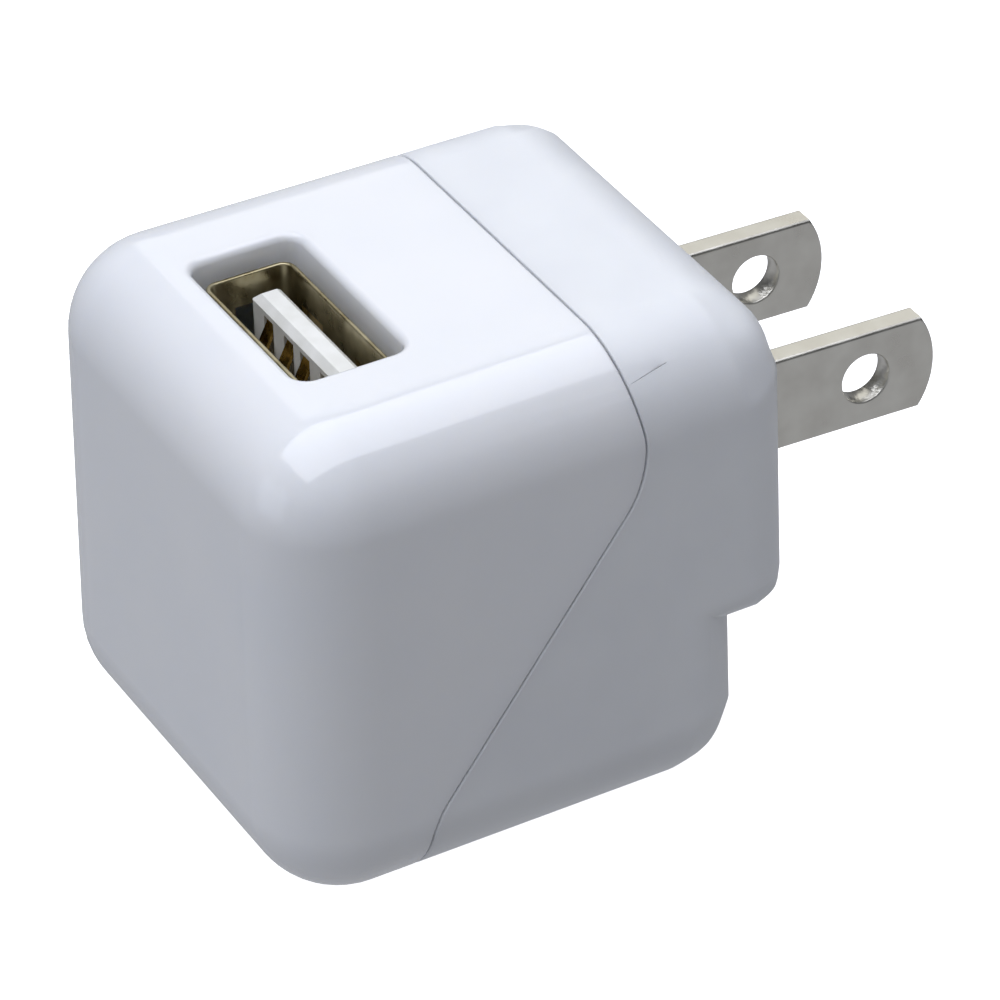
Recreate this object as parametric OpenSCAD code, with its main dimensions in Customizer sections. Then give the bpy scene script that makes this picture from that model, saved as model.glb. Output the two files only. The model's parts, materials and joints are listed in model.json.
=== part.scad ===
// Cube-shaped USB wall charger with fold-down plug blades.
// Frame: origin on the wall face, midway between the blades and on their centreline.
// +Y points into the wall, +Z up towards the USB port, -Y towards the room.

/* [Housing] */
// Width of the housing, side to side
body_w = 32.4; // [30:0.1:42]
// Depth of the housing, from the wall face to the front face
body_d = 33.8; // [32.5:0.1:44]
// Height of the housing above the blade centreline
body_top = 12; // [11:0.5:18]
// Depth of the housing below the blade centreline
body_bottom = 19.4; // [19.2:0.1:26]
// Thickness of the housing walls
wall = 2; // [1.6:0.1:2.4]
// Radius of the front and long edges
edge_r = 5.8; // [3.5:0.1:6.5]
// Radius of the edges around the wall face
rear_r = 4.8; // [2.5:0.1:5]
// Radius of the raised wall face's lower edge
step_r = 2.2; // [0.8:0.1:2.4]
// Radius of the rear edge of the underside
heel_r = 5.2; // [3:0.1:5.6]
// Depth of the finger notch below the wall face
notch_depth = 3.6; // [2.5:0.1:4]
// Distance of the notch's upper edge below the blade centreline
notch_top = 8; // [6:0.5:9]

/* [Seam between the shells] */
// Distance from the wall face to the seam on the top face
seam_top = 11.1; // [11:0.1:12.5]
// Distance from the wall face to the seam on the bottom face
seam_bottom = 25.4; // [22:0.1:26]
// Length of the locating lip inside the seam
lip_len = 1.6; // [1:0.1:2.2]
// Thickness of the locating lip
lip_t = 1; // [0.8:0.1:1.2]
// Gap between the lip and the front shell
lip_gap = 0.1; // [0.05:0.01:0.2]

/* [Blades] */
// Distance between the blade centre planes
blade_spacing = 12.7; // [12.7:0.1:12.7]
// Thickness of a blade
blade_t = 1.5; // [1.4:0.05:1.65]
// Width of a blade
blade_w = 6.2; // [6:0.05:6.5]
// Length of a blade beyond the wall face
blade_reach = 14.1; // [12:0.1:14.4]
// Radius of the rounded blade tip
tip_r = 5; // [3.6:0.1:8]
// Radius of the hole near a blade's tip
blade_hole_r = 1.6; // [1.4:0.05:1.8]
// Distance from the wall face to the centre of that hole
blade_hole_y = 9.2; // [8.5:0.1:9.5]
// Gap between a blade and each side of its slot
blade_gap = 0.35; // [0.25:0.05:0.5]

/* [Blade pivot] */
// Depth of the pivot axis behind the wall face
pivot_depth = 4.2; // [4:0.1:4.5]
// Radius of the pivot pin
pin_r = 2; // [1.6:0.1:2.2]
// Radial clearance between the pin and its seats
pin_clear = 0.05; // [0.03:0.01:0.1]
// Length of the pin's seat at each end
seat_len = 3; // [2:0.1:3.4]
// Radius of the collar between the blades
collar_r = 2.8; // [2.6:0.1:2.9]

/* [USB port] */
// Distance from the wall face to the centre of the port
port_y = 24; // [23.6:0.1:24.2]
// Length of the port's metal shell
port_l = 13.1; // [13:0.1:13.2]
// Width of the port's metal shell
port_w = 5.7; // [5.6:0.1:5.8]
// Height of the port's metal shell
port_h = 14; // [13:0.5:14]
// Sheet thickness of the port's metal shell
port_t = 0.3; // [0.25:0.05:0.35]
// Depth of the metal shell's rim below the top face
port_recess = 1.3; // [0.8:0.1:2]
// Gap between the metal shell and the edge of the opening
port_gap = 0.55; // [0.3:0.05:0.6]
// Width of the insulating tongue
tongue_l = 11.1; // [11:0.1:11.2]
// Thickness of the insulating tongue
tongue_t = 1.84; // [1.8:0.02:1.9]
// Depth of the tongue's end below the top face
tongue_recess = 2.1; // [2:0.1:3]
// Pitch of the inner pair of contacts
inner_pitch = 2; // [2:0.1:2]
// Pitch of the outer pair of contacts
outer_pitch = 7; // [7:0.1:7]
// Width of a contact
contact_w = 1; // [0.9:0.05:1.1]

/* [Circuit board] */
// Width of the board
board_w = 25; // [24:0.5:25.5]
// Thickness of the board
board_t = 1.6; // [1:0.1:1.6]
// Diameter of an input capacitor
cap_in_d = 8; // [6.3:0.1:8]
// Length of an input capacitor
cap_in_l = 12; // [10:0.5:13]
// Diameter of the output capacitor
cap_out_d = 6.3; // [5:0.1:8]
// Height of the output capacitor
cap_out_h = 10; // [8:0.5:11.5]
// Width of the transformer's core
core_w = 10.2; // [9:0.1:11]
// Height of the transformer's core
core_h = 9.2; // [8:0.1:10.5]
// Depth of the transformer's core
core_d = 4.6; // [4:0.1:5]

/* [Hidden] */
$fn = 48;

over = 1;
arc_steps = 8;
blade_x = blade_spacing / 2;
slot_w = blade_t + 2 * blade_gap;
hub_r = blade_w / 2;
fold_room = 0.5;
slot_top = hub_r + 0.4;
slot_foot = blade_reach + pivot_depth + fold_room;
contact_gap = 0.3;
contact_t = 0.3;
slot_back = pivot_depth + hub_r + contact_gap + contact_t + 0.4;
way_w = 1.6;
pocket_wall = 1;
pocket_back = slot_back + pocket_wall;
pin_end = blade_x + slot_w / 2 + pocket_wall / 2 + seat_len;
collar_x = blade_x - slot_w / 2 - 0.9;
collar_gap = 0.2;
bearing_r = hub_r + 1.1;
retainer_t = 1;
retainer_back = pocket_back + retainer_t;
front_y = -body_d;
open_l = port_l + 2 * port_gap;
open_w = port_w + 2 * port_gap;
rim_z = body_top - port_recess;
board_top = rim_z - port_h;
board_under = board_top - board_t;
board_rear = -(retainer_back + 0.7);
board_front = front_y + wall + 0.3;
board_margin = 0.8;
parts_x = board_w / 2 - board_margin - 0.3;
wire_r = 0.5;
wire_y = board_rear - 0.6;
tab_z = hub_r - 0.1;
tongue_back = -port_y + port_w / 2 - port_t - 0.85;
tongue_front = tongue_back - tongue_t;
contact_x = [-outer_pitch / 2, -inner_pitch / 2, inner_pitch / 2, outer_pitch / 2];
strip_t = 0.25;
tail_l = 0.6;
under_gap = tail_l + 0.1;
bobbin_l = 7.4;
bobbin_d = 6.8;
core_y = wire_y - wire_r - 0.6 - bobbin_d / 2;
core_x = 6.6;
core_lift = 1;
coil_l = 3.8;
coil_d = core_d + 1.6;
coil_foot = 3.2;
bulge_z = 4.4;
bulge_r = 6;
knee_z = -14;
knee_r = 4;

// Points of a polygon whose corners are arcs: each entry is [x, y, corner radius]
function unit(v) = v / norm(v);
function corner(a, b, c) =
    let (u = unit([a.x - b.x, a.y - b.y]), v = unit([c.x - b.x, c.y - b.y]),
         half = acos(u * v) / 2, reach = b[2] / tan(half),
         start = [b.x, b.y] + u * reach, end = [b.x, b.y] + v * reach,
         hub = [b.x, b.y] + unit(u + v) * b[2] / sin(half),
         from = atan2(start.y - hub.y, start.x - hub.x),
         turn = atan2(end.y - hub.y, end.x - hub.x) - from,
         sweep = turn > 180 ? turn - 360 : turn < -180 ? turn + 360 : turn)
    b[2] == 0 ? [[b.x, b.y]]
    : [for (i = [0 : arc_steps]) hub + b[2] * [cos(from + sweep * i / arc_steps),
                                               sin(from + sweep * i / arc_steps)]];
function rounded(p) =
    [for (i = [0 : len(p) - 1])
        each corner(p[(i + len(p) - 1) % len(p)], p[i], p[(i + 1) % len(p)])];

// Extrusion along X of an outline drawn as [y, z]
module along_x(from, to) {
    translate([from, 0, 0]) rotate([90, 0, 90]) linear_extrude(to - from) children();
}

// Extrusion along Y of an outline drawn as [x, z]
module along_y(from, to) {
    translate([0, to, 0]) rotate([90, 0, 0]) linear_extrude(to - from) children();
}

// Box given by its lowest and highest corners
module block(low, high) {
    translate(low) cube(high - low);
}

// Cylinder along X between two stations
module rod(from, to, y, z, r) {
    translate([from, y, z]) rotate([0, 90, 0]) cylinder(h = to - from, r = r);
}

module side_outline() {
    polygon(rounded([
        [front_y, body_top, edge_r],
        [0, body_top, rear_r],
        [0, -notch_top, step_r],
        [-notch_depth, -notch_top, 0.6],
        [-notch_depth, -body_bottom, heel_r],
        [front_y, -body_bottom, edge_r]]));
}

module plan_outline(rear_y) {
    polygon(rounded([
        [-body_w / 2, front_y, edge_r],
        [body_w / 2, front_y, edge_r],
        [body_w / 2, rear_y, rear_r],
        [-body_w / 2, rear_y, rear_r]]));
}

module end_outline() {
    polygon(rounded([
        [-body_w / 2, -body_bottom, edge_r],
        [body_w / 2, -body_bottom, edge_r],
        [body_w / 2, body_top, edge_r],
        [-body_w / 2, body_top, edge_r]]));
}

// The housing's outer form, shrunk by an inset
module form(inset = 0) {
    intersection() {
        along_x(-body_w, body_w) offset(delta = -inset) side_outline();
        union() {
            translate([0, 0, -notch_top + inset])
                linear_extrude(2 * body_top + notch_top)
                    offset(delta = -inset) plan_outline(0);
            translate([0, 0, -2 * body_bottom])
                linear_extrude(2 * body_bottom + 2 * body_top)
                    offset(delta = -inset) plan_outline(-notch_depth);
        }
        along_y(-2 * body_d, body_d) offset(delta = -inset) end_outline();
    }
}

// Everything on the room side of the seam, moved by a shift along Y
module room_side(shift = 0) {
    bulge_y = -seam_top + 1.35;
    knee_y = -seam_bottom + 0.8;
    along_x(-body_w, body_w) translate([shift, 0])
        polygon(rounded([
            [-2 * body_d, 2 * body_top, 0],
            [-seam_top - 0.2, 2 * body_top, 0],
            [-seam_top - 0.1, body_top + 1, 0],
            [bulge_y, bulge_z, bulge_r],
            [knee_y, knee_z, knee_r],
            [-seam_bottom, -body_bottom - 1, 0],
            [-seam_bottom, -2 * body_bottom, 0],
            [-2 * body_d, -2 * body_bottom, 0]]));
}

module front_shell() {
    rail_in = board_w / 2 - board_margin;
    rail_t = 1.2;
    rail_gap = 0.1;
    rail_from = board_front + 1.5;
    rail_to = board_front + 8;
    collar_h = 1.6;
    color("white") {
        difference() {
            intersection() {
                form();
                room_side();
            }
            form(wall);
            translate([0, -port_y, body_top - wall - over])
                linear_extrude(wall + 2 * over) port_opening(0);
        }
        // Collar that steadies the metal shell of the port
        translate([0, -port_y, body_top - wall - collar_h])
            linear_extrude(collar_h) difference() {
                port_opening(1);
                port_opening(0);
            }
        // Rails that hold the edges of the board
        for (side = [-1, 1], z = [board_top + rail_gap, board_under - rail_gap - rail_t])
            mirror([side < 0 ? 1 : 0, 0, 0])
                block([rail_in, rail_from, z], [body_w / 2 - wall, rail_to, z + rail_t]);
    }
}

module port_opening(grow) {
    l = open_l / 2 + grow;
    w = open_w / 2 + grow;
    polygon(rounded([[-l, -w, 1 + grow], [l, -w, 1 + grow],
                     [l, w, 1 + grow], [-l, w, 1 + grow]]));
}

module rear_cap() {
    color("whitesmoke") difference() {
        union() {
            difference() {
                intersection() {
                    form();
                    difference() {
                        block([-body_w, -2 * body_d, -2 * body_bottom],
                              [body_w, body_d, 2 * body_bottom]);
                        room_side();
                    }
                }
                form(wall);
            }
            // Locating lip: a root behind the seam and a tongue in front of it
            intersection() {
                difference() {
                    form(wall);
                    form(wall + lip_gap + lip_t);
                }
                difference() {
                    room_side(lip_len);
                    room_side();
                }
            }
            intersection() {
                difference() {
                    form(wall + lip_gap);
                    form(wall + lip_gap + lip_t);
                }
                difference() {
                    room_side(lip_len / 2);
                    room_side(-lip_len);
                }
            }
            // Bearing block for the pivot pin and a pocket behind each slot
            intersection() {
                form();
                union() {
                    block([-pin_end - pocket_wall, -pocket_back, -bearing_r],
                          [pin_end + pocket_wall, -wall / 2, bearing_r]);
                    for (x = [-blade_x, blade_x])
                        block([x - slot_w / 2 - pocket_wall, -pocket_back, -body_bottom],
                              [x + slot_w / 2 + pocket_wall, -wall / 2, bearing_r]);
                }
            }
        }
        // Slots that the blades fold into, with a way through for each contact
        for (x = [-blade_x, blade_x]) {
            block([x - slot_w / 2, -slot_back, -slot_foot],
                  [x + slot_w / 2, over, slot_top]);
            block([x - way_w / 2, -pocket_back - over, tab_z - 0.3],
                  [x + way_w / 2, -slot_back + over, tab_z + contact_t + 0.2]);
        }
        // Seats of the pin, open towards the inside so that it drops in
        rod(-pin_end, pin_end, -pivot_depth, 0, pin_r + pin_clear);
        block([-pin_end, -pocket_back - over, -pin_r - pin_clear],
              [pin_end, -pivot_depth, pin_r + pin_clear]);
        rod(-collar_x, collar_x, -pivot_depth, 0, collar_r + collar_gap);
        block([-collar_x, -pocket_back - over, -collar_r - collar_gap],
              [collar_x, -pivot_depth, collar_r + collar_gap]);
    }
}

module blade(x) {
    color("silver") along_x(x - blade_t / 2, x + blade_t / 2) difference() {
        union() {
            translate([-pivot_depth, 0]) circle(r = hub_r);
            intersection() {
                translate([-pivot_depth, -hub_r])
                    square([pivot_depth + blade_reach, blade_w]);
                union() {
                    translate([blade_reach - tip_r, 0]) circle(r = tip_r);
                    translate([-pivot_depth, -hub_r])
                        square([pivot_depth + blade_reach - tip_r, blade_w]);
                }
            }
        }
        translate([-pivot_depth, 0]) circle(r = pin_r);
        translate([blade_hole_y, 0]) circle(r = blade_hole_r);
    }
}

module blade_left() { blade(-blade_x); }

module blade_right() { blade(blade_x); }

module blade_pivot_pin() {
    end_gap = 0.2;
    flat_x = 2;
    flat_depth = 0.25;
    color("dimgray") difference() {
        union() {
            rod(-pin_end + end_gap, pin_end - end_gap, -pivot_depth, 0, pin_r);
            rod(-collar_x + end_gap, collar_x - end_gap, -pivot_depth, 0, collar_r);
        }
        // Flats that the detent spring rests on, blades out and blades folded
        block([-flat_x, -pivot_depth - collar_r - over, -collar_r],
              [flat_x, -pivot_depth - collar_r + flat_depth, collar_r]);
        block([-flat_x, -pivot_depth - collar_r, collar_r - flat_depth],
              [flat_x, -pivot_depth + collar_r, collar_r + over]);
    }
}

module pivot_retainer() {
    finger_gap = 0.1;
    seat_from = blade_x + slot_w / 2 + 0.4;
    color("gainsboro") {
        block([-pin_end, -retainer_back, -bearing_r + 0.4],
              [pin_end, -pocket_back, tab_z - 0.6]);
        for (side = [0, 1]) mirror([side, 0, 0])
            block([seat_from, -pocket_back, -pin_r + finger_gap],
                  [pin_end - finger_gap, -pivot_depth - pin_r - pin_clear - finger_gap,
                   pin_r - finger_gap]);
    }
}

module detent_spring() {
    leaf_t = 0.2;
    leaf_x = 2.4;
    leaf_z = 1.2;
    rest_y = -pivot_depth - collar_r - 0.15;
    color("goldenrod") {
        block([-leaf_x, rest_y - leaf_t, -leaf_z], [leaf_x, rest_y, leaf_z]);
        for (side = [0, 1]) mirror([side, 0, 0])
            block([leaf_x, -pocket_back, -leaf_z], [leaf_x + leaf_t, rest_y, leaf_z]);
    }
}

module contact_spring(x) {
    leaf_y = -pivot_depth - hub_r - contact_gap;
    half = 0.6;
    foot_z = -1;
    color("peru") {
        block([x - half, leaf_y - contact_t, foot_z], [x + half, leaf_y, tab_z + contact_t]);
        block([x - half, wire_y - wire_r, tab_z], [x + half, leaf_y, tab_z + contact_t]);
    }
}

module contact_spring_left() { contact_spring(-blade_x); }

module contact_spring_right() { contact_spring(blade_x); }

module supply_wires() {
    color("firebrick") for (x = [-blade_x, blade_x])
        translate([x, wire_y, board_top]) cylinder(h = tab_z - board_top, r = wire_r);
}

module main_board() {
    corner_r = edge_r - wall + 0.2;
    color("darkgreen") difference() {
        translate([0, 0, board_under]) linear_extrude(board_t) polygon(rounded([
            [-board_w / 2, board_front, corner_r], [board_w / 2, board_front, corner_r],
            [board_w / 2, board_rear, 0], [-board_w / 2, board_rear, 0]]));
        for (x = contact_x) translate([x, tongue_front, board_under - over])
            cylinder(h = board_t + 2 * over, r = 0.6);
    }
}

module transformer_core() {
    limb = 2.2;
    yoke = 1.3;
    d = core_d / 2;
    foot = board_top + core_lift;
    color("#3a3a3e") difference() {
        block([core_x - core_w / 2, core_y - d, foot],
              [core_x + core_w / 2, core_y + d, foot + core_h]);
        for (side = [0, 1]) translate([core_x, 0, 0]) mirror([side, 0, 0])
            block([limb / 2, core_y - d - over, foot + yoke],
                  [core_w / 2 - limb / 2, core_y + d + over, foot + core_h - yoke]);
    }
}

module transformer_bobbin() {
    flange_t = 0.8;
    pin_w = 0.3;
    color("#2a2320") difference() {
        union() {
            for (z = [board_top + coil_foot - flange_t, board_top + core_h - 1.2])
                block([core_x - bobbin_l / 2, core_y - bobbin_d / 2, z],
                      [core_x + bobbin_l / 2, core_y + bobbin_d / 2, z + flange_t]);
            block([core_x - coil_l / 2, core_y - coil_d / 2, board_top + coil_foot - flange_t],
                  [core_x + coil_l / 2, core_y + coil_d / 2, board_top + core_h - 0.4]);
            for (x = [-3, 0, 3], y = [-2.9, 2.9])
                translate([core_x + x, core_y + y, board_top])
                    cylinder(h = coil_foot - flange_t / 2, r = pin_w);
        }
        block([core_x - 1.15, core_y - core_d / 2 - 0.05, board_top],
              [core_x + 1.15, core_y + core_d / 2 + 0.05, board_top + core_h + over]);
    }
}

module transformer_winding() {
    turns_t = 0.25;
    color("#e0b428") difference() {
        block([core_x - 3.6, core_y - coil_d / 2 - turns_t, board_top + coil_foot],
              [core_x + 3.6, core_y + coil_d / 2 + turns_t, board_top + core_h - 1.2]);
        block([core_x - coil_l / 2, core_y - coil_d / 2, board_top + coil_foot - over],
              [core_x + coil_l / 2, core_y + coil_d / 2, board_top + core_h]);
    }
}

module input_capacitors() {
    z = board_under - cap_in_d / 2 - under_gap;
    first_y = board_front + cap_in_d / 2 + 0.5;
    color("#26303c") for (y = [first_y, first_y + cap_in_d + 0.7])
        rod(-parts_x, -parts_x + cap_in_l, y, z, cap_in_d / 2);
}

module output_capacitor() {
    color("#1f4a35") translate([-board_w / 2 + 0.8 + cap_out_d / 2, core_y, board_top])
        cylinder(h = cap_out_h, r = cap_out_d / 2);
}

module y_capacitor() {
    color("#2f5fb3") rod(-3.1, -0.9, core_y, board_top + 5, 3.2);
}

module bridge_rectifier() {
    color("#222222") block([3.6, board_rear - 5.4, board_under - 2.6],
                           [8.4, board_rear - 1.5, board_under]);
}

module fusible_resistor() {
    color("#7f9f7a") rod(2, 9, board_front + 10.5, board_under - 2.1, 1.5);
}

module filter_choke() {
    color("#3c3c3c") translate([parts_x - 2.5, board_front + 5.4, board_under - 7.4])
        cylinder(h = 7.4, r = 2.5);
}

module controller_chip() {
    color("#1b1b1b") block([1.4, board_front + 2, board_under - 1.5],
                           [5.3, board_front + 6.9, board_under]);
}

module optocoupler() {
    color("#f0f0ea") block([parts_x - 4.6, board_front + 3.4, board_top],
                           [parts_x, board_front + 9.9, board_top + 3.4]);
}

module output_diode() {
    color("#202020") block([-parts_x, board_front + 4, board_top],
                           [-parts_x + 2.6, board_front + 8.4, board_top + 2.2]);
}

module insulation_sheet() {
    y = -port_y + port_w / 2 + 0.2;
    color("#d9c59a") block([-board_w / 2 + 0.5, y, board_top],
                           [board_w / 2 - 0.5, y + 0.2, body_top - wall - 1.7]);
}

module port_outline(inset) {
    l = port_l / 2 - inset;
    w = port_w / 2 - inset;
    r = 0.7 - inset;
    polygon(rounded([[-l, -w, r], [l, -w, r], [l, w, r], [-l, w, r]]));
}

module usb_shell() {
    window_l = 2.6;
    window_h = 4.6;
    window_x = 3.3;
    window_top = rim_z - 2.4;
    tab_w = 1.8;
    tab_t = 0.24;
    tab_y = port_w / 2 - 0.35;
    color("#b9b3a0") difference() {
        translate([0, -port_y, board_top]) linear_extrude(port_h) difference() {
            port_outline(0);
            port_outline(port_t);
        }
        // Windows of the spring tabs, two in each long wall and one in each short wall
        for (x = [-window_x, window_x])
            block([x - window_l / 2, -port_y - port_w, window_top - window_h],
                  [x + window_l / 2, -port_y + port_w, window_top]);
        block([-port_l, -port_y - tab_w / 2, window_top - window_h],
              [port_l, -port_y + tab_w / 2, window_top]);
    }
    // Spring tabs bent inwards from the lower edge of each window
    color("#b9b3a0") for (x = [-window_x, window_x], side = [-1, 1])
        block([x - tab_w / 2, -port_y + side * tab_y - tab_t / 2, window_top - window_h - 0.2],
              [x + tab_w / 2, -port_y + side * tab_y + tab_t / 2, window_top - 1.2]);
}

module usb_insulator() {
    base_h = 3.6;
    foot = board_top + 0.2;
    side_gap = 0.05;
    color("white") difference() {
        union() {
            translate([0, -port_y, foot]) linear_extrude(base_h)
                port_outline(port_t + side_gap);
            block([-tongue_l / 2, tongue_front, foot],
                  [tongue_l / 2, tongue_back, body_top - tongue_recess]);
        }
        for (x = contact_x)
            block([x - contact_w / 2 - side_gap, tongue_front - 0.2, board_top - over],
                  [x + contact_w / 2 + side_gap, tongue_front + strip_t + 0.1,
                   body_top - tongue_recess - 1]);
    }
}

module usb_contacts() {
    tail_w = 0.6;
    color("#c8a24a") for (x = contact_x) {
        block([x - contact_w / 2, tongue_front, board_top],
              [x + contact_w / 2, tongue_front + strip_t, body_top - tongue_recess - 1.1]);
        block([x - tail_w / 2, tongue_front, board_under - tail_l],
              [x + tail_w / 2, tongue_front + strip_t, board_top]);
    }
}

front_shell();
rear_cap();
blade_left();
blade_right();
blade_pivot_pin();
pivot_retainer();
detent_spring();
contact_spring_left();
contact_spring_right();
supply_wires();
main_board();
transformer_core();
transformer_bobbin();
transformer_winding();
input_capacitors();
output_capacitor();
y_capacitor();
bridge_rectifier();
fusible_resistor();
filter_choke();
controller_chip();
optocoupler();
output_diode();
insulation_sheet();
usb_shell();
usb_insulator();
usb_contacts();
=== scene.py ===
"""Cube-shaped USB mains charger with fold-down plug blades.

The visible pieces, their finishes and a small studio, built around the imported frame.
Frame axes: origin on the wall face between the blades, +Y into the wall, +Z up to the port.
"""

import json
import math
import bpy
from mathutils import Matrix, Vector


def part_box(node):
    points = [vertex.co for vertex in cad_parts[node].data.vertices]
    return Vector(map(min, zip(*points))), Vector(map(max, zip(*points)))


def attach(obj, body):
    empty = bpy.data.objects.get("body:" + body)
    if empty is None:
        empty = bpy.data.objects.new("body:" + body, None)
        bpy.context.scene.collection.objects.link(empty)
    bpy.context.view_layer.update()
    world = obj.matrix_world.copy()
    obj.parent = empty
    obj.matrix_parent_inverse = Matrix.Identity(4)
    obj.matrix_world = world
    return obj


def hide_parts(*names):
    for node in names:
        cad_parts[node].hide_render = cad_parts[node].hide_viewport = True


bl_info = {
    "name": "Fold-Down Plug Charger",
    "version": (1, 0, 0),
    "blender": (4, 5, 0),
    "location": "View3D > Sidebar > Charger",
    "description": "Builds the charger's housing, plug blades and port, with finishes and a studio",
    "category": "Add Mesh",
}

import bmesh
import bpy
from bpy.props import FloatProperty, FloatVectorProperty, PointerProperty
from mathutils import Matrix, Vector

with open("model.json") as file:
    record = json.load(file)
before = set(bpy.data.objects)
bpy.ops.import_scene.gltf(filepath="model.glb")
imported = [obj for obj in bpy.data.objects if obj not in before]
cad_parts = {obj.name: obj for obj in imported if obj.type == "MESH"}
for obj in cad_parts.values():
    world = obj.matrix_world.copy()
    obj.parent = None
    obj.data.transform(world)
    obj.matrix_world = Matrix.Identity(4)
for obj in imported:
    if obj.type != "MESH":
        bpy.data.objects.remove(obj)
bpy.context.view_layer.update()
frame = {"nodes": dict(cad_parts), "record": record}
FRONT_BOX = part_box("front_shell")
REAR_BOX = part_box("rear_cap")
BLADE_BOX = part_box("blade_right")
CAN_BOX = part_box("usb_shell")
TONGUE_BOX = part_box("usb_insulator")
PIN_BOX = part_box("blade_pivot_pin")

MM = 0.001
ARC_STEPS = 14
SMALL_STEPS = 6
TOUCH = 0.02 * MM
WELD = 0.002 * MM
SLIVER = 0.001 * MM
SHORT_EDGE = 0.05 * MM
MIN_RADIUS = 0.4 * MM
SEAM_STEPS = 3
CONTACT_X = [x * MM for x in (-3.5, -1, 1, 3.5)]
# Band period of a wave texture at scale 1, and the span that a noise texture mostly keeps to
WAVE_PERIOD = 0.314
NOISE_LOW, NOISE_HIGH = 0.3, 0.7


# Properties: sizes in metres, colours in linear light

def length(name, about, default):
    return FloatProperty(name=name, description=about, default=default, min=0.0,
                         precision=5, subtype="DISTANCE", unit="LENGTH")


def srgb(code):
    """Linear red, green, blue and 1 from a hex colour such as #f4f5f7."""
    parts = [int(code[i:i + 2], 16) / 255 for i in (1, 3, 5)]
    return (*[c / 12.92 if c <= 0.04045 else ((c + 0.055) / 1.055) ** 2.4 for c in parts], 1.0)


def colour(name, about, code):
    return FloatVectorProperty(name=name, description=about, default=srgb(code), size=4,
                               min=0.0, max=1.0, subtype="COLOR")


class ChargerHousing(bpy.types.PropertyGroup):
    wall: length("Wall", "Thickness of the housing walls", 2 * MM)
    edge_r: length("Edge radius", "Radius of the front and long edges", 5.8 * MM)
    rear_r: length("Rear radius", "Radius of the wall face's top edge", 4.6 * MM)
    side_r: length("Side radius", "Radius of the wall face's upright edges", 3.6 * MM)
    step_r: length("Step radius", "Radius of the raised wall face's lower edge", 2.0 * MM)
    heel_r: length("Heel radius", "Radius of the underside's rear edge", 5.2 * MM)
    notch_depth: length("Notch depth", "Depth of the finger notch", 3.6 * MM)
    notch_top: length("Notch top", "Notch edge below the blade centreline", 8 * MM)
    taper: length("Taper", "Amount by which each side leans in towards the wall", 0.65 * MM)
    lean: length("Lean", "Amount by which each side leans in towards the top", 0.4 * MM)
    rake: length("Rake", "Amount by which the front face leans back at the top", 0.7 * MM)
    seam_gap: length("Seam gap", "Width of the line between the two shells", 0.12 * MM)
    seam_edge: length("Seam edge", "Radius of the shells' edges along the seam", 0.12 * MM)
    lip: length("Lip", "Length of the locating lip on each side of the seam", 1.6 * MM)


class ChargerBlades(bpy.types.PropertyGroup):
    tip_r: length("Tip radius", "Radius of the blade tip", 5.4 * MM)
    hole_r: length("Hole radius", "Radius of the hole near the tip", 1.6 * MM)
    hole_y: length("Hole position", "Distance from the wall face to the hole", 9.4 * MM)
    burr: length("Hole chamfer", "Width of the broken edge round the hole", 0.13 * MM)
    pivot_y: length("Pivot depth", "Depth of the pivot behind the wall face", 4.2 * MM)
    edge: length("Edge", "Width of the tumbled edge", 0.22 * MM)
    slot_gap: length("Slot gap", "Gap between a blade and its slot", 0.35 * MM)
    droop: FloatProperty(name="Droop", description="Play of the blades in their pivot",
                         default=math.radians(1.6), subtype="ANGLE", unit="ROTATION")


class ChargerPort(bpy.types.PropertyGroup):
    opening_l: length("Opening length", "Length of the opening in the top", 14.2 * MM)
    opening_w: length("Opening width", "Width of the opening in the top", 7.0 * MM)
    corner_r: length("Corner radius", "Radius of the opening's corners", 1.1 * MM)
    rim_r: length("Rim radius", "Rounding of the opening's edge", 0.5 * MM)
    sheet: length("Sheet", "Sheet thickness of the metal shell", 0.3 * MM)
    tongue_l: length("Tongue width", "Width of the tongue", 11.1 * MM)
    tongue_t: length("Tongue thickness", "Thickness of the tongue", 1.84 * MM)
    contact_w: length("Contact width", "Width of a contact", 1.0 * MM)


class ChargerColours(bpy.types.PropertyGroup):
    shell: colour("Shell", "Polished front shell", "#f3f4f7")
    cap: colour("Cap", "Satin rear cap", "#eef0f3")
    blade: colour("Blade", "Nickel plating of the blades", "#dcdad2")
    can: colour("Port shell", "Nickel plating of the port", "#bfb698")
    tongue: colour("Tongue", "Plastic of the tongue", "#f1f1ee")
    contact: colour("Contact", "Contacts in the port", "#c9a75a")
    floor: colour("Floor", "Paper under the charger", "#fbfbfc")


# Shapes

def solid(name, bm):
    """Object at the origin with this mesh."""
    mesh = bpy.data.meshes.new(name)
    bm.to_mesh(mesh)
    bm.free()
    piece = bpy.data.objects.new(name, mesh)
    bpy.context.scene.collection.objects.link(piece)
    return piece


def settle(piece):
    """Make a piece's modifiers part of its mesh."""
    bpy.context.view_layer.update()
    seen = piece.evaluated_get(bpy.context.evaluated_depsgraph_get())
    mesh = bpy.data.meshes.new_from_object(seen)
    old = piece.data
    piece.modifiers.clear()
    piece.data = mesh
    bpy.data.meshes.remove(old)
    mesh.name = piece.name
    return piece


def combine(piece, tool, how):
    """Join a tool to a piece, or cut it away, and drop the tool."""
    step = piece.modifiers.new(how, "BOOLEAN")
    step.object = tool
    step.operation = how
    step.solver = "MANIFOLD"
    settle(piece)
    if not piece.data.polygons:
        raise RuntimeError(f"nothing is left of {piece.name} after {how}")
    mesh = tool.data
    bpy.data.objects.remove(tool)
    bpy.data.meshes.remove(mesh)
    return piece


def cuboid(bm, low, high):
    """Add a box between two corners to a mesh, and return its vertices."""
    low, high = Vector(low), Vector(high)
    verts = bmesh.ops.create_cube(bm, size=1)["verts"]
    bmesh.ops.scale(bm, vec=high - low, verts=verts)
    bmesh.ops.translate(bm, vec=(low + high) / 2, verts=verts)
    return verts


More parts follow.
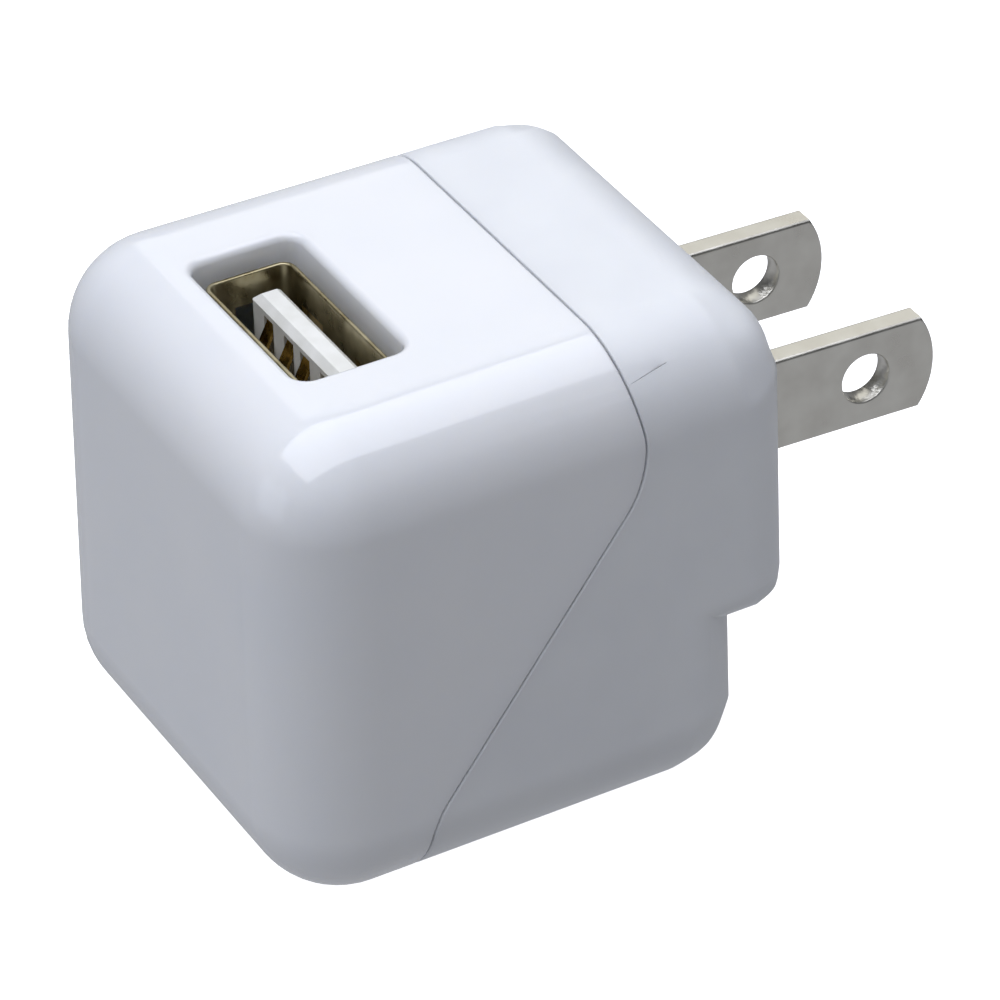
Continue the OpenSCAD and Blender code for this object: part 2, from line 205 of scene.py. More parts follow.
def box(name, low, high):
    bm = bmesh.new()
    cuboid(bm, low, high)
    return solid(name, bm)


def round_edges(bm, edges, radius, steps):
    """Round edges of one angle to a radius."""
    turn = edges[0].calc_face_angle()
    bmesh.ops.bevel(bm, geom=edges, affect="EDGES", offset=radius * math.tan(turn / 2),
                    offset_type="OFFSET", segments=steps, profile=0.5, material=-1,
                    clamp_overlap=True)


def edges_along(bm, axis):
    """Edges of a mesh that run along one axis."""
    return [e for e in bm.edges
            if abs((e.verts[0].co - e.verts[1].co).normalized()[axis]) > 0.999]


def rounded_block(name, low, high, radius_of):
    """Box whose edges each take the radius that radius_of gives for their side in Y and Z."""
    bm = bmesh.new()
    cuboid(bm, low, high)
    middle = (Vector(low) + Vector(high)) / 2
    weight = bm.edges.layers.float.new("bevel_weight_edge")
    radii = {}
    for edge in bm.edges:
        out = (edge.verts[0].co + edge.verts[1].co) / 2 - middle
        radii[edge] = radius_of(*[0 if abs(c) < TOUCH else math.copysign(1, c) for c in out.yz])
    widest = max(radii.values())
    for edge, radius in radii.items():
        edge[weight] = radius / widest
    piece = solid(name, bm)
    bevel = piece.modifiers.new("Edges", "BEVEL")
    bevel.limit_method = "WEIGHT"
    bevel.width = widest
    bevel.segments = ARC_STEPS
    bevel.profile = 0.5
    return settle(piece)


def finish_edges(piece, angle=math.radians(32)):
    """Smooth shading that keeps crisp edges crisp and flat faces flat."""
    for face in piece.data.polygons:
        face.use_smooth = True
    piece.data.set_sharp_from_angle(angle=angle)
    normals = piece.modifiers.new("Normals", "WEIGHTED_NORMAL")
    normals.keep_sharp = True
    normals.weight = 100
    return piece


def clean(piece):
    """Merge points that a cut left on top of each other, and turn all faces outwards."""
    bm = bmesh.new()
    bm.from_mesh(piece.data)
    bmesh.ops.remove_doubles(bm, verts=bm.verts, dist=WELD)
    bmesh.ops.dissolve_degenerate(bm, dist=SLIVER, edges=bm.edges)
    bmesh.ops.recalc_face_normals(bm, faces=bm.faces)
    bm.to_mesh(piece.data)
    bm.free()
    return piece


def housing_form(name, inset, sizes):
    """The housing's whole outer form, or the same shrunk by an inset: a raised block on a body."""
    low = Vector((REAR_BOX[0].x, FRONT_BOX[0].y, FRONT_BOX[0].z)) + Vector((1, 1, 1)) * inset
    high = Vector((REAR_BOX[1].x, REAR_BOX[1].y, REAR_BOX[1].z)) - Vector((1, 1, 1)) * inset
    step_y = -sizes.notch_depth - inset
    step_z = -sizes.notch_top + inset
    edge, rear, side, heel, step = [
        max(r - inset, MIN_RADIUS) for r in
        (sizes.edge_r, sizes.rear_r, sizes.side_r, sizes.heel_r, sizes.step_r)]

    def body_radius(y, z):
        if y > 0:
            return heel if z < 0 else rear if z > 0 else side
        return edge

    def raised_radius(y, z):
        if y < 0:
            return 0
        if z < 0:
            return step
        if y == 0:
            return edge
        return rear if z > 0 else side

    # The raised block starts clear of the body's rear fillet, so no faces lie on each other
    overlap = 1.02 * rear
    body = rounded_block(name, low, (high.x, step_y, high.z), body_radius)
    raised = rounded_block("raised", (low.x, step_y - overlap, step_z), high, raised_radius)
    return combine(body, raised, "UNION")


def lean_in(piece, sizes):
    """Draft of the mould: sides lean in to the wall and to the top, and the front leans back."""
    front, floor, top = FRONT_BOX[0].y, FRONT_BOX[0].z, REAR_BOX[1].z
    half = REAR_BOX[1].x
    rake_from = -11 * MM
    for vertex in piece.data.vertices:
        x, y, z = vertex.co
        up = (z - floor) / (top - floor)
        wide = half - sizes.taper * (1 - y / front) - sizes.lean * up
        forward = max(0.0, (rake_from - y) / (rake_from - front))
        vertex.co = (x * wide / half, y + sizes.rake * up * forward, z)
    return piece


def room_side(name, shift):
    """Everything on the room side of the oblique seam, moved along Y by a shift."""
    reach, far = 20 * MM, -40 * MM
    # Path down the side as (y, z) in mm: upright, bulge, knee, oblique run and foot
    corners = [(far, 16), (-11.25, 16), (-11.15, 13), (-9.75, 4.4), (-24.6, -14),
               (-25.4, -20.4), (-25.4, -24), (far, -24)]
    bends = {3: 6.0 * MM, 4: 4.0 * MM}
    bm = bmesh.new()
    verts = []
    for y, z in corners:
        y = y if y == far else y * MM + shift
        verts.append(bm.verts.new((-reach, y, z * MM)))
    face = bm.faces.new(verts)
    new = bmesh.ops.extrude_face_region(bm, geom=[face])["geom"]
    moved = [g for g in new if isinstance(g, bmesh.types.BMVert)]
    bmesh.ops.translate(bm, vec=(2 * reach, 0, 0), verts=moved)
    bmesh.ops.recalc_face_normals(bm, faces=bm.faces)
    places = {i: verts[i].co.yz for i in bends}
    for i, radius in bends.items():
        edges = [e for e in edges_along(bm, 0)
                 if (e.verts[0].co.yz - places[i]).length < TOUCH]
        round_edges(bm, edges, radius, ARC_STEPS)
    return solid(name, bm)


def hollow_form(sizes):
    """The leaning housing with its wall, still in one piece."""
    outer = lean_in(housing_form("housing", 0, sizes), sizes)
    inner = lean_in(housing_form("inside", sizes.wall, sizes), sizes)
    return combine(outer, inner, "DIFFERENCE")


# Materials

def add(tree, kind, inputs=None, **settings):
    """Add a node with its own settings, and fill its inputs with values or links."""
    node = tree.nodes.new(kind)
    for name, value in settings.items():
        setattr(node, name, value)
    for name, value in (inputs or {}).items():
        if isinstance(value, bpy.types.NodeSocket):
            tree.links.new(value, node.inputs[name])
        else:
            node.inputs[name].default_value = value
    return node


def surface(name, light, dark, rough, patch_mm, grain_mm, depth_mm, metallic=0.0, ior=1.5,
            stretch=(1, 1, 1), glow=0.0, detail=3.0, milk=0.0):
    """Two near shades in soft patches, gloss that wanders with them, and a fine relief.

    patch_mm is the size of a patch, grain_mm and depth_mm the width and height of the relief,
    and milk the share of light that soaks in before it leaves.
    """
    material = bpy.data.materials.new(name)
    material.use_nodes = True
    tree = material.node_tree
    tree.nodes.clear()
    place = add(tree, "ShaderNodeTexCoord").outputs["Object"]
    turned = add(tree, "ShaderNodeMapping", {"Vector": place, "Scale": stretch}).outputs["Vector"]
    patches = add(tree, "ShaderNodeTexNoise", {"Vector": place, "Scale": 1 / (patch_mm * MM),
                                               "Detail": 2.0}).outputs["Fac"]
    grain = add(tree, "ShaderNodeTexNoise", {"Vector": turned, "Scale": 1 / (grain_mm * MM),
                                             "Detail": detail}).outputs["Fac"]
    shade = add(tree, "ShaderNodeValToRGB", {"Fac": patches})
    shade.color_ramp.elements[0].position = NOISE_LOW
    shade.color_ramp.elements[0].color = dark
    shade.color_ramp.elements[1].position = NOISE_HIGH
    shade.color_ramp.elements[1].color = light
    gloss = add(tree, "ShaderNodeMapRange", {
        "Value": patches, "From Min": NOISE_LOW, "From Max": NOISE_HIGH,
        "To Min": rough[0], "To Max": rough[1]})
    relief = add(tree, "ShaderNodeBump", {"Height": grain, "Distance": depth_mm * MM,
                                          "Strength": 1.0})
    skin = add(tree, "ShaderNodeBsdfPrincipled", {
        "Base Color": shade.outputs["Color"], "Roughness": gloss.outputs["Result"],
        "Normal": relief.outputs["Normal"], "Metallic": metallic, "IOR": ior,
        "Emission Color": light, "Emission Strength": glow, "Subsurface Weight": milk,
        "Subsurface Radius": (1, 0.95, 0.85), "Subsurface Scale": 1.5 * MM})
    add(tree, "ShaderNodeOutputMaterial", {"Surface": skin.outputs["BSDF"]})
    return material


def banded(material, width_mm, axis, dark, share):
    """Lay thin darker lines across a finish, such as turns of tape or a weave's rows."""
    tree = material.node_tree
    skin = next(n for n in tree.nodes if n.type == "BSDF_PRINCIPLED")
    base = skin.inputs["Base Color"].links[0].from_socket
    place = next(n for n in tree.nodes if n.type == "TEX_COORD").outputs["Object"]
    lines = add(tree, "ShaderNodeTexWave", {"Vector": place, "Scale": WAVE_PERIOD / (width_mm * MM),
                                            "Distortion": 0.4},
                wave_type="BANDS", bands_direction=axis)
    thin = add(tree, "ShaderNodeMapRange", {"Value": lines.outputs["Fac"], "From Min": 0.0,
                                            "From Max": 0.25, "To Min": share, "To Max": 0.0})
    mix = add(tree, "ShaderNodeMix", data_type="RGBA")
    # The colour mix keeps its factor at input 0, its colours at 6 and 7, its result at 2
    tree.links.new(thin.outputs["Result"], mix.inputs[0])
    tree.links.new(base, mix.inputs[6])
    mix.inputs[7].default_value = dark
    tree.links.new(mix.outputs[2], skin.inputs["Base Color"])
    return material


def finishes(colours):
    """One procedural material for each slot of the record."""
    made = {}

    # Polished moulded ABS and polycarbonate: mirror-clear highlights that swim a little
    made["gloss_shell"] = surface("polished_white_abs", colours.shell, srgb("#eff1f5"),
                                  (0.10, 0.15), 9, 5, 0.004, ior=1.57, detail=1.0, milk=0.3)
    # Spark-eroded moulded ABS: the same white, with the highlight spread to a sheen
    made["satin_shell"] = surface("satin_white_abs", colours.cap, srgb("#e9ebef"),
                                  (0.34, 0.42), 6, 0.16, 0.006, ior=1.57, detail=2.0,
                                  milk=0.3)
    # Nickel-plated brass, stamped and tumbled: soft grey mirror with rolling lines along it
    made["blade_nickel"] = surface("tumbled_nickel_plate", colours.blade, srgb("#cbc8c0"),
                                   (0.26, 0.36), 2.2, 0.10, 0.004, metallic=1.0,
                                   stretch=(1, 0.15, 1))
    # Glass-filled nylon, moulded: dull dark grey with a dry grain
    made["pivot_nylon"] = surface("moulded_glass_nylon", srgb("#5b5b5e"), srgb("#4a4a4d"),
                                  (0.5, 0.62), 1.5, 0.15, 0.01, ior=1.53)
    # Phosphor bronze strip, rolled: warm metal with fine lines
    made["phosphor_bronze"] = surface("rolled_phosphor_bronze", srgb("#c98f62"),
                                      srgb("#a8734b"), (0.25, 0.38), 1.2, 0.08, 0.003,
                                      metallic=1.0, stretch=(1, 1, 0.2))
    # PVC wire sleeve, extruded: soft red with a wax-like gloss
    made["wire_sleeve"] = surface("extruded_pvc_sleeve", srgb("#a8231d"), srgb("#8e1a16"),
                                  (0.38, 0.5), 1.0, 0.2, 0.01, ior=1.53)
    # Glass-epoxy laminate under solder mask: green with the weave showing through
    made["board_laminate"] = banded(
        surface("solder_masked_laminate", srgb("#1f6b3f"), srgb("#185634"), (0.3, 0.42), 3,
                0.4, 0.01, ior=1.55), 0.5, "X", srgb("#144a2b"), 0.5)
    # Manganese-zinc ferrite, pressed and sintered: matt charcoal with a stony grain
    made["ferrite"] = surface("sintered_ferrite", srgb("#45454a"), srgb("#333338"),
                              (0.55, 0.7), 0.8, 0.12, 0.02, ior=2.1)
    # Phenolic bobbin, compression moulded: brown-black with a faint gloss
    made["phenolic"] = surface("moulded_phenolic", srgb("#33261f"), srgb("#261b16"),
                               (0.35, 0.5), 1.4, 0.18, 0.01, ior=1.6)
    # Polyester tape wound round the coil: yellow film with the edge of each turn
    made["winding_tape"] = banded(
        surface("wound_polyester_tape", srgb("#e3b62c"), srgb("#cfa021"), (0.2, 0.32), 1.6,
                0.3, 0.008, ior=1.57), 1.4, "Z", srgb("#9c7716"), 0.6)
    # Shrink sleeve on an electrolytic capacitor: dark blue film drawn tight
    made["capacitor_sleeve"] = surface("shrunk_pet_sleeve_blue", srgb("#2a3950"),
                                       srgb("#202c40"), (0.2, 0.3), 3, 0.5, 0.006, ior=1.57)
    # The same sleeve in green
    made["capacitor_sleeve_green"] = surface("shrunk_pet_sleeve_green", srgb("#235640"),
                                             srgb("#1a4533"), (0.2, 0.3), 3, 0.5, 0.006,
                                             ior=1.57)
    # Epoxy-dipped ceramic disc: blue coating with a rounded, slightly lumpy skin
    made["disc_ceramic"] = surface("dipped_ceramic_disc", srgb("#2f62b8"), srgb("#274f97"),
                                   (0.25, 0.4), 1.2, 0.8, 0.03, ior=1.55)
    # Transfer-moulded epoxy package: matt black with mould grain
    made["black_epoxy"] = surface("moulded_black_epoxy", srgb("#2a2a2b"), srgb("#1d1d1e"),
                                  (0.5, 0.65), 0.8, 0.08, 0.008, ior=1.55)
    # Lacquered wirewound resistor: grey-green paint that flowed over the turns
    made["resistor_lacquer"] = surface("dipped_resistor_lacquer", srgb("#7fa37b"),
                                       srgb("#6c8f69"), (0.35, 0.5), 0.9, 0.5, 0.03, ior=1.5)
    # White epoxy optocoupler body: off-white, matt
    made["white_epoxy"] = surface("moulded_white_epoxy", srgb("#eeeee6"), srgb("#e0dfd4"),
                                  (0.45, 0.6), 1.0, 0.1, 0.008, ior=1.55)
    # Fish paper, calendered: tan sheet with short fibres
    made["insulation_paper"] = surface("calendered_fish_paper", srgb("#d6c292"),
                                       srgb("#c2ac7a"), (0.65, 0.8), 1.0, 0.12, 0.012,
                                       stretch=(0.25, 1, 1))
    # Nickel-plated port shell, stamped: yellowish grey, dulled where plugs have rubbed it
    made["port_steel"] = surface("stamped_nickel_shell", colours.can, srgb("#8d8262"),
                                 (0.24, 0.4), 1.6, 0.12, 0.004, metallic=1.0,
                                 stretch=(1, 1, 0.2))
    # Glass-filled PBT tongue, moulded: clean white with a dry, even surface
    made["port_plastic"] = surface("moulded_white_pbt", colours.tongue, srgb("#e6e6e1"),
                                   (0.4, 0.5), 1.5, 0.12, 0.006, ior=1.56)
    # Brass contacts, stamped and lightly gilded: warm and bright where the plug wipes them
    made["contact_brass"] = surface("stamped_gilt_brass", colours.contact, srgb("#8e7038"),
                                    (0.2, 0.34), 0.7, 0.08, 0.003, metallic=1.0,
                                    stretch=(1, 1, 0.2))
    missing = {m["slot"] for m in frame["record"]["materials"]} - set(made)
    if missing:
        raise RuntimeError(f"no finish is made for {sorted(missing)}")
    return made


def finish_for(slot_name, colours):
    """The material of a slot, made on first use together with all the others."""
    held = {m.get("charger_slot"): m for m in bpy.data.materials if "charger_slot" in m}
    if slot_name not in held:
        for name, material in finishes(colours).items():
            material["charger_slot"] = name
            held[name] = material
    return held[slot_name]


def fit(piece, context, node, slot_name, body="charger"):
    """Give a finished piece the material of its slot and its body, and hide the imported node that
    it stands for.
    """
    piece.data.materials.clear()
    piece.data.materials.append(finish_for(slot_name, context.scene.charger_colours))
    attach(piece, body)
    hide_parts(node)


# Housing

def soften(piece, wanted, width, steps, merge=0.0):
    """Round the edges of a piece that a test picks, by one width, short ones merged first."""
    bm = bmesh.new()
    bm.from_mesh(piece.data)
    edges = [e for e in bm.edges if wanted(e)]
    if merge:
        verts = list({v for e in edges for v in e.verts})
        bmesh.ops.remove_doubles(bm, verts=verts, dist=merge)
        edges = [e for e in bm.edges if wanted(e)]
    if not edges:
        raise RuntimeError(f"no edge of {piece.name} matches")
    bmesh.ops.bevel(bm, geom=edges, affect="EDGES", offset=width, offset_type="OFFSET",
                    segments=steps, profile=0.5, material=-1, clamp_overlap=False)
    bm.to_mesh(piece.data)
    bm.free()
    return piece


def port_plug(name, sizes, grow, floor, roof):
    """Upright block with rounded corners in the port's place, wider by grow on each side."""
    middle = (CAN_BOX[0] + CAN_BOX[1]) / 2
    half_l, half_w = sizes.opening_l / 2 + grow, sizes.opening_w / 2 + grow
    bm = bmesh.new()
    cuboid(bm, (middle.x - half_l, middle.y - half_w, floor),
           (middle.x + half_l, middle.y + half_w, roof))
    round_edges(bm, edges_along(bm, 2), sizes.corner_r + grow, SMALL_STEPS)
    return solid(name, bm)


def on_outer_seam(edge, sizes):
    """True for an edge where a shell's outer face meets its cut."""
    # Edges nearer the wall than this belong to the slots, and stay crisp
    slots_from, crease = -6 * MM, math.radians(45)
    if not edge.is_manifold or edge.calc_face_angle() < crease:
        return False
    if not any(math.hypot(f.normal.y, f.normal.z) > 0.999 and abs(f.normal.y) > 0.5
               for f in edge.link_faces):
        return False
    middle_z = (FRONT_BOX[0].z + REAR_BOX[1].z) / 2
    half_x = REAR_BOX[1].x - sizes.edge_r
    half_z = (REAR_BOX[1].z - FRONT_BOX[0].z) / 2 - sizes.edge_r
    for vert in edge.verts:
        across = max(abs(vert.co.x) + sizes.taper - half_x, 0)
        upright = max(abs(vert.co.z - middle_z) - half_z, 0)
        if math.hypot(across, upright) < sizes.edge_r - sizes.wall / 2:
            return False
        if vert.co.y > slots_from:
            return False
    return True


class CHARGER_OT_front_shell(bpy.types.Operator):
    """Polished front shell with the port's opening and its collar"""
    bl_idname = "charger.front_shell"
    bl_label = "Front Shell"

    def execute(self, context):
        sizes, port = context.scene.charger_housing, context.scene.charger_port
        top = FRONT_BOX[1].z
        shell = combine(hollow_form(sizes), room_side("seam_cut", 0), "INTERSECT")
        under = top - sizes.wall
        collar_wall, collar_h, bite, past = 1 * MM, 1.6 * MM, 0.2 * MM, 4 * MM
        combine(shell, port_plug("collar", port, collar_wall, under - collar_h, under + bite),
                "UNION")
        combine(shell, port_plug("opening", port, 0, under - past, top + 1 * MM), "DIFFERENCE")
        clean(shell)
        reach = Vector((port.opening_l, port.opening_w)) / 2 + Vector((TOUCH, TOUCH))
        middle = (CAN_BOX[0] + CAN_BOX[1]).xy / 2

        def on_rim(edge):
            return all(v.co.z > top - TOUCH and abs(v.co.x - middle.x) < reach.x
                       and abs(v.co.y - middle.y) < reach.y for v in edge.verts)

        soften(shell, on_rim, port.rim_r, SMALL_STEPS)
        soften(shell, lambda e: on_outer_seam(e, sizes), sizes.seam_edge, SEAM_STEPS, SHORT_EDGE)
        shell.name = "front_housing"
        finish_edges(shell)
        fit(shell, context, "front_shell", "gloss_shell")
        return {"FINISHED"}


class CHARGER_OT_rear_cap(bpy.types.Operator):
    """Satin rear cap with the locating lip, the blade slots and the pivot's seats"""
    bl_idname = "charger.rear_cap"
    bl_label = "Rear Cap"

    def execute(self, context):
        sizes, blades = context.scene.charger_housing, context.scene.charger_blades
        cap = combine(hollow_form(sizes), room_side("seam_cut", sizes.seam_gap), "DIFFERENCE")
        lip = lean_in(housing_form("lip", sizes.wall - TOUCH, sizes), sizes)
        lip_t = 1 * MM
        core = lean_in(housing_form("core", sizes.wall + lip_t, sizes), sizes)
        combine(lip, core, "DIFFERENCE")
        combine(lip, room_side("lip_back", sizes.lip), "INTERSECT")
        combine(lip, room_side("lip_front", -sizes.lip), "DIFFERENCE")
        combine(cap, lip, "UNION")
        self.add_slots(cap, sizes, blades)
        clean(cap)
        soften(cap, lambda e: on_outer_seam(e, sizes), sizes.seam_edge, SEAM_STEPS, SHORT_EDGE)
        cap.name = "rear_housing"
        finish_edges(cap)
        fit(cap, context, "rear_cap", "satin_shell")
        return {"FINISHED"}

    def add_slots(self, cap, sizes, blades):
        """Pockets behind the wall face, cut by the slots that the blades fold into."""
        wall, reach = 1 * MM, 1 * MM
        end_gap, pin_wall, hub_wall, hub_gap = 0.5 * MM, 1.2 * MM, 1.1 * MM, 0.4 * MM
        half = (BLADE_BOX[1].x - BLADE_BOX[0].x) / 2 + blades.slot_gap
        spot = (BLADE_BOX[0].x + BLADE_BOX[1].x) / 2
        hub = BLADE_BOX[1].z
        back = BLADE_BOX[0].y - reach
        fold_z = -(BLADE_BOX[1].y - (PIN_BOX[0].y + PIN_BOX[1].y) / 2) - end_gap
        skin = -sizes.wall / 2
        end = PIN_BOX[1].x + pin_wall
        bearing = hub + hub_wall
        combine(cap, box("bearing", (-end, back - wall, -bearing), (end, skin, bearing)), "UNION")
        for x in (-spot, spot):
            pocket = box("pocket", (x - half - wall, back - wall, fold_z),
                         (x + half + wall, -sizes.notch_depth - wall, -sizes.notch_top))
            within = lean_in(housing_form("within", sizes.wall / 4, sizes), sizes)
            combine(pocket, within, "INTERSECT")
            combine(cap, pocket, "UNION")
            slot = bmesh.new()
            cuboid(slot, (x - half, back, fold_z), (x + half, reach, hub + hub_gap))
            combine(cap, solid("slot", slot), "DIFFERENCE")


# Plug blades

def blade_plate(name, low, high, pivot_y, sizes):
    """Stamped plate: round hub, flat sides, shallow arc at the tip, hole near the tip."""
    half, tip = high.z, high.y
    centre = tip - sizes.tip_r
    shoulder = centre + math.sqrt(sizes.tip_r ** 2 - half ** 2)
    bm = bmesh.new()
    start = bm.verts.new((low.x, shoulder, half))
    bmesh.ops.spin(bm, geom=[start], cent=(low.x, centre, 0), axis=(1, 0, 0), dvec=(0, 0, 0),
                   angle=-2 * math.asin(half / sizes.tip_r), steps=18, use_merge=False)
    root = bm.verts.new((low.x, pivot_y, -half))
    bmesh.ops.spin(bm, geom=[root], cent=(low.x, pivot_y, 0), axis=(1, 0, 0), dvec=(0, 0, 0),
                   angle=-math.pi, steps=28, use_merge=False)
    ends = [v for v in bm.verts if len(v.link_edges) == 1]
    upper = [v for v in ends if v.co.z > 0]
    lower = [v for v in ends if v.co.z < 0]
    bm.edges.new(upper)
    bm.edges.new(lower)
    face = bmesh.ops.contextual_create(bm, geom=bm.edges[:])["faces"]
    new = bmesh.ops.extrude_face_region(bm, geom=face)["geom"]
    bmesh.ops.translate(bm, vec=(high.x - low.x, 0, 0),
                        verts=[g for g in new if isinstance(g, bmesh.types.BMVert)])
    bmesh.ops.recalc_face_normals(bm, faces=bm.faces)
    plate = soften(solid(name, bm), lambda e: e.calc_face_angle() > math.radians(60),
                   sizes.edge, 4)
    middle_x, spare = (low.x + high.x) / 2, 2 * MM
    depth = high.x - low.x + 2 * spare
    for y, radius in ((sizes.hole_y, sizes.hole_r), (pivot_y, (PIN_BOX[1].y - PIN_BOX[0].y) / 2)):
        drill(plate, (middle_x, y), depth, radius, radius)
    narrow, wide = sizes.hole_r - TOUCH, sizes.hole_r + 2 * sizes.burr
    drill(plate, (low.x, sizes.hole_y), 2 * sizes.burr, wide, narrow)
    drill(plate, (high.x, sizes.hole_y), 2 * sizes.burr, narrow, wide)
    return plate


def drill(plate, place, depth, left_radius, right_radius):
    """Bore a plate along X about a place (x, y), straight or as a cone."""
    bm = bmesh.new()
    turned = Matrix.Translation((*place, 0)) @ Matrix.Rotation(math.pi / 2, 4, "Y")
    bmesh.ops.create_cone(bm, cap_ends=True, segments=48, radius1=left_radius,
                          radius2=right_radius, depth=depth, matrix=turned)
    combine(plate, solid("drill", bm), "DIFFERENCE")


class CHARGER_OT_blades(bpy.types.Operator):
    """Pair of nickel-plated blades with tumbled edges, hanging a little in their pivot"""
    bl_idname = "charger.blades"
    bl_label = "Plug Blades"

    def execute(self, context):
        sizes = context.scene.charger_blades
        pivot_y = -sizes.pivot_y
        for side in ("left", "right"):
            low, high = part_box(f"blade_{side}")
            plate = blade_plate(f"{side}_blade", low, high, pivot_y, sizes)
            sag = (Matrix.Translation((0, pivot_y, 0)) @ Matrix.Rotation(-sizes.droop, 4, "X")
                   @ Matrix.Translation((0, -pivot_y, 0)))
            plate.data.transform(sag)
            finish_edges(plate, math.radians(50))
            fit(plate, context, f"blade_{side}", "blade_nickel", "blades")
        return {"FINISHED"}


# Port

def bent_strip(bm, middle_x, width, path, thickness):
    """Add a strip of sheet that follows a path of (y, z) points."""
    y, z = path[0]
    pair = [bm.verts.new((middle_x + s * width / 2, y, z)) for s in (-1, 1)]
    edge, faces = bm.edges.new(pair), []
    for (y0, z0), (y1, z1) in zip(path, path[1:]):
        new = bmesh.ops.extrude_edge_only(bm, edges=[edge])["geom"]
        moved = [g for g in new if isinstance(g, bmesh.types.BMVert)]
        bmesh.ops.translate(bm, vec=(0, y1 - y0, z1 - z0), verts=moved)
        edge = next(g for g in new if isinstance(g, bmesh.types.BMEdge)
                    and all(v in moved for v in g.verts))
        faces += [g for g in new if isinstance(g, bmesh.types.BMFace)]
    bmesh.ops.recalc_face_normals(bm, faces=faces)
    bmesh.ops.solidify(bm, geom=faces, thickness=thickness)


class CHARGER_OT_port_shell(bpy.types.Operator):
    """Folded metal shell of the port, with softened rim, windows and spring tabs"""
    bl_idname = "charger.port_shell"
    bl_label = "Port Shell"

    def execute(self, context):
        sizes = context.scene.charger_port
        low, high = CAN_BOX
        middle = (low + high) / 2
        bm = bmesh.new()
        cuboid(bm, low, high)
        corner_r = 0.85 * MM
        round_edges(bm, edges_along(bm, 2), corner_r, SMALL_STEPS)
        ends = [f for f in bm.faces if abs(f.normal.z) > 0.9]
        bmesh.ops.inset_region(bm, faces=ends, thickness=sizes.sheet, use_even_offset=True)
        inner = [f for f in bm.faces if abs(f.normal.z) > 0.9 and len(f.verts) > 4]
        rims = [e for f in inner for e in f.edges]
        bmesh.ops.delete(bm, geom=inner, context="FACES_ONLY")
        bmesh.ops.bridge_loops(bm, edges=rims)
        bmesh.ops.recalc_face_normals(bm, faces=bm.faces)
        can = solid("port_can", bm)
        window_l, window_h, below = 2.6 * MM, 4.6 * MM, 2.0 * MM
        end_window_w, rim_edge, spring_w, spring_t = 1.8 * MM, 0.1 * MM, 1.8 * MM, 0.22 * MM
        window_x = (-3.3 * MM, 3.3 * MM)
        cuts = bmesh.new()
        for x in window_x:
            cuboid(cuts, (x - window_l / 2, low.y - MM, high.z - below - window_h),
                   (x + window_l / 2, high.y + MM, high.z - below))
        combine(can, solid("long_windows", cuts), "DIFFERENCE")
        combine(can, box("end_windows", (low.x - MM, middle.y - end_window_w / 2,
                                         high.z - below - window_h),
                         (high.x + MM, middle.y + end_window_w / 2, high.z - below)), "DIFFERENCE")
        soften(can, lambda e: e.is_manifold and e.calc_face_angle() > math.radians(60)
               and all(v.co.z > high.z - TOUCH for v in e.verts), rim_edge, 3)
        bm = bmesh.new()
        bm.from_mesh(can.data)
        for x in window_x:
            for side in (-1, 1):
                wall = middle.y + side * (high.y - middle.y - sizes.sheet)
                # Tab bent from its root to its free end: (outwards, up) in mm from the rim
                spring = [(0.25, -6.6), (0.0, -5.6), (-0.35, -4.4), (-0.62, -3.6), (-0.68, -3.2),
                          (-0.55, -2.8), (-0.3, -2.5)]
                path = [(wall + side * y * MM, high.z + z * MM) for y, z in spring]
                bent_strip(bm, x, spring_w, path, spring_t)
        bm.to_mesh(can.data)
        bm.free()
        finish_edges(can)
        fit(can, context, "usb_shell", "port_steel")
        return {"FINISHED"}


class CHARGER_OT_port_tongue(bpy.types.Operator):
    """White tongue with a chamfered end and a groove for each contact"""
    bl_idname = "charger.port_tongue"
    bl_label = "Port Tongue"

    def execute(self, context):
        sizes = context.scene.charger_port
        low, high = TONGUE_BOX
        can_low, can_high = CAN_BOX
        end = high.z
        behind, chamfer, corner = 0.85 * MM, 0.42 * MM, 0.12 * MM
        base_h, base_r, base_gap = 3.6 * MM, 0.5 * MM, 0.05 * MM
        groove_gap, groove_t, groove_end = 0.08 * MM, 0.5 * MM, 0.75 * MM
        front = can_high.y - sizes.sheet - behind - sizes.tongue_t
        back = front + sizes.tongue_t
        half = sizes.tongue_l / 2
        tongue = bmesh.new()
        cuboid(tongue, (-half, front, low.z + MM), (half, back, end))
        top = [e for e in tongue.edges if all(v.co.z > end - TOUCH for v in e.verts)]
        bmesh.ops.bevel(tongue, geom=top, affect="EDGES", offset=chamfer,
                        offset_type="OFFSET", segments=1, profile=0.5, material=-1)
        bmesh.ops.bevel(tongue, geom=edges_along(tongue, 2), affect="EDGES", offset=corner,
                        offset_type="OFFSET", segments=2, profile=0.5, material=-1)
        piece = solid("port_tongue_body", tongue)
        inset = sizes.sheet + base_gap
        base = bmesh.new()
        cuboid(base, (can_low.x + inset, can_low.y + inset, low.z),
               (can_high.x - inset, can_high.y - inset, low.z + base_h))
        round_edges(base, edges_along(base, 2), base_r, SMALL_STEPS)
        combine(piece, solid("base", base), "UNION")
        grooves = bmesh.new()
        for x in CONTACT_X:
            cuboid(grooves, (x - sizes.contact_w / 2 - groove_gap, front - MM, low.z - MM),
                   (x + sizes.contact_w / 2 + groove_gap, front + groove_t, end - groove_end))
        combine(piece, solid("grooves", grooves), "DIFFERENCE")
        clean(piece)
        piece.name = "port_tongue"
        finish_edges(piece)
        fit(piece, context, "usb_insulator", "port_plastic")
        return {"FINISHED"}


